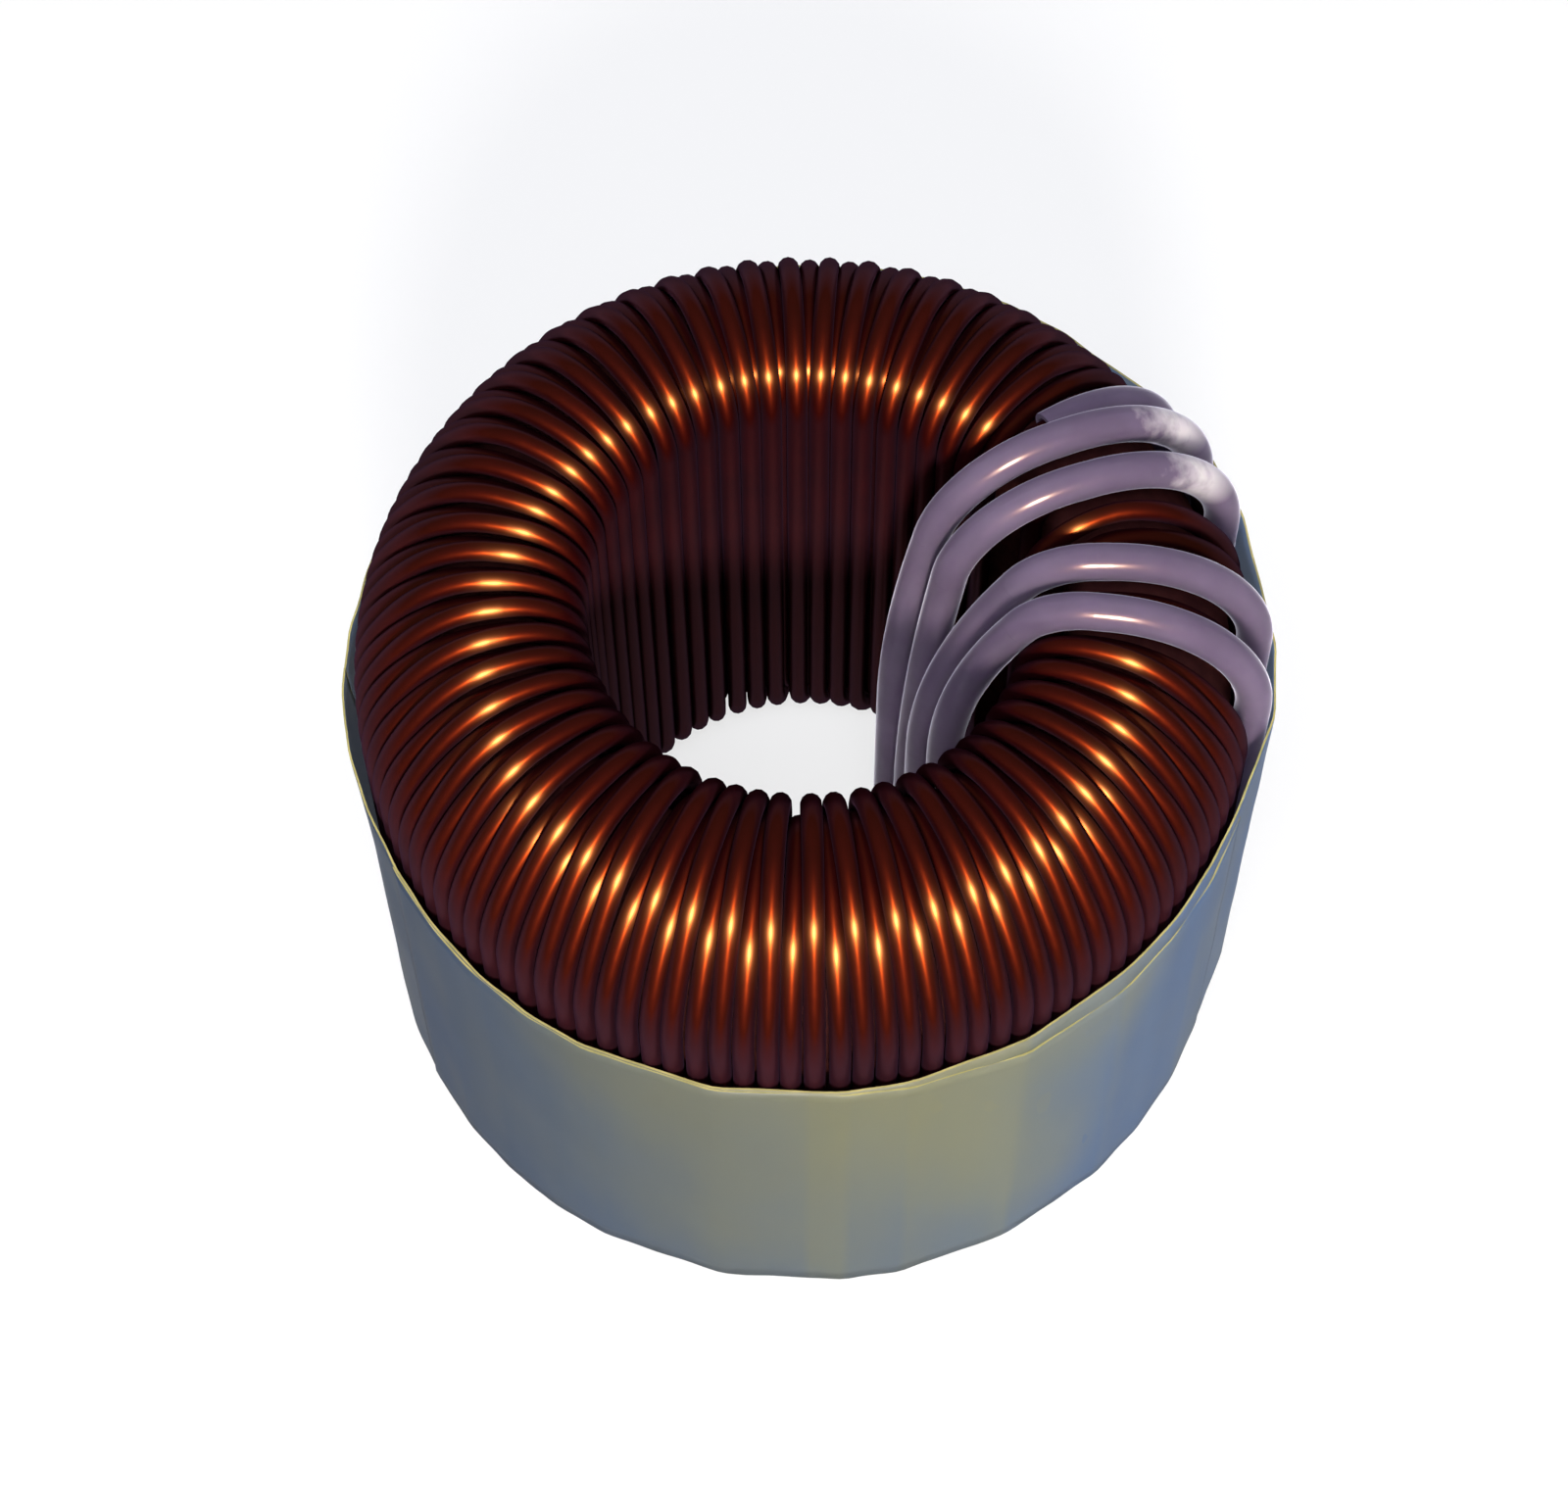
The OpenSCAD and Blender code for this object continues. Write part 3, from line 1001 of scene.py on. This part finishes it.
def yellow_glue_and_light(azimuth, w, seed):
    """How yellow the film looks, from 0 to 1: glue, and in front and higher up partly painted light."""
    panel = sum(1 for c in creases if (c - azimuth) % 360 > (c + 90) % 360)
    shade = random.Random(seed * 100 + panel).uniform(-PANEL_SHADE, PANEL_SHADE)
    # Partly painted light: the front, which faces the lamps, is made yellower, and more so higher up.
    front = 1 - smooth((angle_off(azimuth, YELLOW_FRONT) - FRONT_FULL) / FRONT_FADE)
    back = BACK_SHARE * (1 - smooth((angle_off(azimuth, YELLOW_BACK) - BACK_FULL) / BACK_FADE))
    patch = PATCH * noise.noise(Vector((azimuth / PATCH_LONG, w * PATCH_HIGH, seed + 9)))
    return min(max((front + back) * (YELLOW_LOW + YELLOW_RISE * w) + shade + patch, 0.0), 1.0)


print("film height in front %.1f, at the back %.1f" % (band_top(0, -r_touch), band_top(0, r_touch)))

# %% [markdown]
# ## Film
#
# The strip is a flat grid, bent round the outline and then given its thickness. Its cut edges get a finish
# of their own, because the edge of clear film gathers light and shows the glue as a thin yellow line.

# %% Film
FILM = 0.11
DEGREES_PER_STEP = 1.25
FILM_ROWS = 22
CORNER_HALF = 0.8
CUT_EDGE = 0.6


def film(name, start, end, out, drop, materials, seed):
    """A strip from one direction to another, out from the first layer, its top edge lower by drop."""
    bm = bmesh.new()
    steps = int((end - start) / DEGREES_PER_STEP)
    bmesh.ops.create_grid(bm, x_segments=steps, y_segments=FILM_ROWS, size=0.5)
    yellow = bm.verts.layers.float.new("yellow_glue_and_light")
    for v in bm.verts:
        w = v.co.y + 0.5
        azimuth = start + (end - start) * (v.co.x + 0.5)
        near = sum(band_radius(azimuth + d) for d in (-CORNER_HALF, 0.0, CORNER_HALF)) / 3
        far = near + out + film_crumple(azimuth, w, seed) + film_flare(azimuth, w)
        v.co = ring_point(far, azimuth, film_height(azimuth, near, drop(azimuth), seed) * w) * MM
        v[yellow] = yellow_glue_and_light(azimuth, w, seed)
    if end - start >= 360:
        bmesh.ops.remove_doubles(bm, verts=bm.verts, dist=2e-6)
    bmesh.ops.recalc_face_normals(bm, faces=bm.faces)
    middle = max(bm.faces, key=lambda f: f.calc_center_median().to_2d().length)
    if middle.normal.dot(middle.calc_center_median()) < 0:
        bmesh.ops.reverse_faces(bm, faces=bm.faces)
    bmesh.ops.solidify(bm, geom=bm.faces[:], thickness=-FILM * MM)
    bmesh.ops.recalc_face_normals(bm, faces=bm.faces)
    for face in bm.faces:
        center = face.calc_center_median()
        outward = Vector((center.x, center.y, 0)).normalized()
        cut = abs(face.normal.dot(outward)) < CUT_EDGE
        face.material_index = 1 if cut else 0
        face.smooth = not cut
    return laid_out(name, bm, materials)


print("film: %.2f mm, a step each %.2f degrees" % (FILM, DEGREES_PER_STEP))

# %% [markdown]
# ## Tape finishes
#
# Clear film over dark wire looks blue-grey, and yellow glue turns it olive. The colour follows how yellow
# the film was made in the mesh, by glue and partly by painted light, broken up by a cloud. The film is
# partly see-through and partly lit from behind. Its colour is painted darker on the left and brighter on
# the right, towards the leads: painted shade and painted light.

# %% Tape finishes
CLEAR_FILM = (0.110, 0.170, 0.285)
# Glue yellow with painted light: the front and the upper part of the film are made yellower and brighter.
THIN_GLUE_AND_LIGHT = (0.22, 0.24, 0.205)
THICK_GLUE_AND_LIGHT = (0.265, 0.265, 0.165)
EDGE_DARK = (0.22, 0.20, 0.07)
EDGE_LIGHT = (0.34, 0.30, 0.11)
# Painted shade and painted light: the colour is scaled from 0.5 at X of -22 mm to 1.2 at X of +22 mm.
SIDE_SHADE_SPAN = (-0.022, 0.022)
PAINTED_SIDE_SHADE = (0.5, 1.2)
CLOUD_SHARE = 0.35
LIT_THROUGH = 0.4


def film_color(nodes, links):
    mark = nodes.new("ShaderNodeAttribute")
    mark.attribute_name = "yellow_glue_and_light"
    cloud = object_noise(nodes, links, 160.0, 4.0, (1.0, 1.0, 0.35))
    glue = added_to(nodes, links, cloud.outputs["Fac"], CLOUD_SHARE, mark.outputs["Fac"])
    tone = color_ramp(nodes, links, glue.outputs[0],
                      [(0.15, CLEAR_FILM), (0.62, THIN_GLUE_AND_LIGHT), (1.0, THICK_GLUE_AND_LIGHT)])
    # Painted shade on the left and painted light on the right of the film.
    painted_side_shade = stretched(nodes, links, object_axes(nodes, links).outputs["X"], SIDE_SHADE_SPAN, PAINTED_SIDE_SHADE)
    return scaled_color(nodes, links, tone.outputs[0], painted_side_shade.outputs[0]).outputs[0]


def tape_film():
    material, nodes, links, face = new_material("tape_film")
    color = film_color(nodes, links)
    links.new(color, face.inputs["Base Color"])
    set_inputs(face, {"Roughness": 0.42, "Specular IOR Level": 0.06, "Alpha": 0.75})
    crumple = object_noise(nodes, links, 420.0, 3.0, (1.0, 1.0, 0.3))
    bump = nodes.new("ShaderNodeBump")
    set_inputs(bump, {"Strength": 0.12, "Distance": 0.0002})
    links.new(crumple.outputs["Fac"], bump.inputs["Height"])
    links.new(bump.outputs[0], face.inputs["Normal"])
    through = nodes.new("ShaderNodeBsdfTranslucent")
    links.new(color, through.inputs["Color"])
    coat_with(nodes, links, mixed(nodes, links, face, through, LIT_THROUGH))
    return material


def tape_edge():
    material, nodes, links, edge = new_material("tape_cut_edge")
    tone = color_ramp(nodes, links, object_noise(nodes, links, 700.0).outputs["Fac"],
                      [(0.3, EDGE_DARK), (0.7, EDGE_LIGHT)])
    links.new(tone.outputs[0], edge.inputs["Base Color"])
    set_inputs(edge, {"Roughness": 0.5, "Specular IOR Level": 0.05})
    return material


tape_finishes = [tape_film(), tape_edge()]

# %% [markdown]
# ## The tape and its outer end
#
# The tape goes once round the ring and on over the front for a second layer. The second layer was wound a
# little skew, so its upper edge runs down towards the right and shows as a line across the first. The two
# layers are two pieces, and together they take the place of the model's plain band.

# %% The tape and its outer end
END_FROM = -152.0
END_TO = -20.0
END_OUT = FILM * 0.6
END_DROP = 0.15
SKEW_DROP, SKEW_FROM, SKEW_OVER = 2.1, -88, 40
BAND_SEED = 3
END_SEED = 8


def level_top(azimuth):
    return 0.0


def skew_top(azimuth):
    return END_DROP + SKEW_DROP * smooth((azimuth - SKEW_FROM) / SKEW_OVER)


tape_pieces = [film("tape_band", -180.0, 180.0, 0.0, level_top, tape_finishes, BAND_SEED),
               film("tape_outer_end", END_FROM, END_TO, END_OUT, skew_top, tape_finishes, END_SEED)]
for piece in tape_pieces:
    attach(piece, "root")
    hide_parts("outer_tape")
